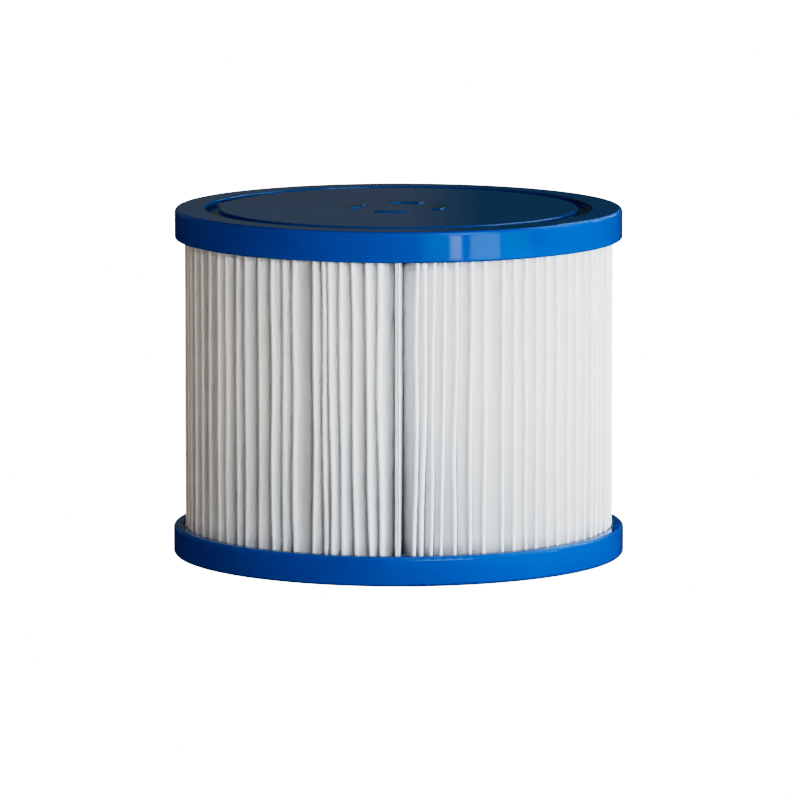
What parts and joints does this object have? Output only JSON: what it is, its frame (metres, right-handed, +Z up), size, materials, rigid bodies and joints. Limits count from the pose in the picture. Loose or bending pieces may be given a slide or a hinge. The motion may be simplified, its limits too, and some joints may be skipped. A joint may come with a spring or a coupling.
{
  "type": "spa filter cartridge",
  "caption": "Pleated water filter cartridge with two dished plastic end caps, one closed and one with a round mouth.",
  "frame": {"origin": "centre of the underside, on the plane of the bottom cap's resting rim", "axes": "+Z up along the cartridge's axis, from the mouth end to the closed end; -Y is the side where the media's seam is"},
  "size_m": [0.109, 0.109, 0.0843],
  "materials": {
    "cap_plastic": "glossy moulded cobalt blue",
    "filter_media": "white spun-bonded non-woven polyester",
    "core_plastic": "moulded white polypropylene",
    "adhesive": "set milky adhesive",
    "gasket_rubber": "matt black rubber"
  },
  "bodies": {
    "root": {"top_end_cap": "cap_plastic", "bottom_end_cap": "cap_plastic", "pleated_media": "filter_media", "seam_bond_strip": "adhesive", "centre_core": "core_plastic", "top_potting": "adhesive", "bottom_potting": "adhesive", "mouth_gasket": "gasket_rubber"}
  },
  "joints": []
}
